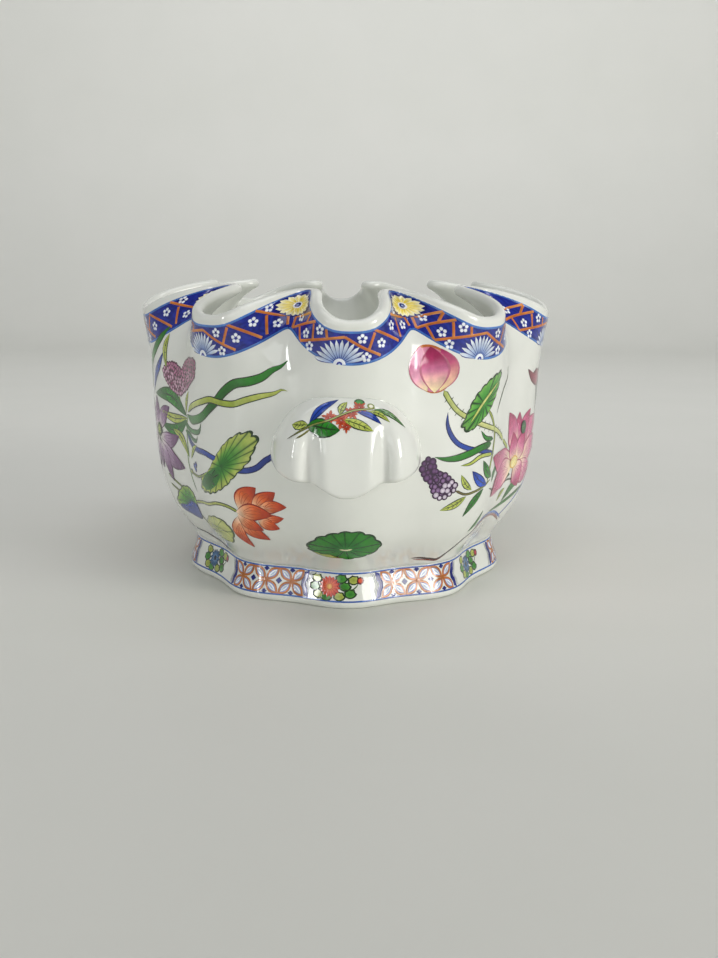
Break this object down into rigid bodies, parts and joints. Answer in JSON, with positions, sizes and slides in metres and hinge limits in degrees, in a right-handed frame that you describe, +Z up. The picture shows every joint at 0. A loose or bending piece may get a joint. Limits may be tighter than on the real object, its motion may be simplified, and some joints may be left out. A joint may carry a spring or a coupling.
{
  "type": "oval porcelain glass cooler bowl",
  "caption": "Oval porcelain cooler bowl with soft flutes, a notched rim whose points curl inwards, a flared foot ring and a shell-shaped lug handle at each end.",
  "frame": {"origin": "middle of the plane that the foot ring stands on", "axes": "+Z up, +Y along the long axis of the oval towards the back handle, +X across the oval"},
  "size_m": [0.2012, 0.3178, 0.145],
  "materials": {
    "body_glaze": "glossy clear glaze over white porcelain, with enamel flowers",
    "foot_glaze": "glossy clear glaze with a painted border",
    "handle_glaze": "glossy clear glaze over white porcelain"
  },
  "bodies": {
    "root": {"bowl_body": "body_glaze", "foot_ring": "foot_glaze", "front_handle": "handle_glaze", "back_handle": "handle_glaze"}
  },
  "joints": []
}
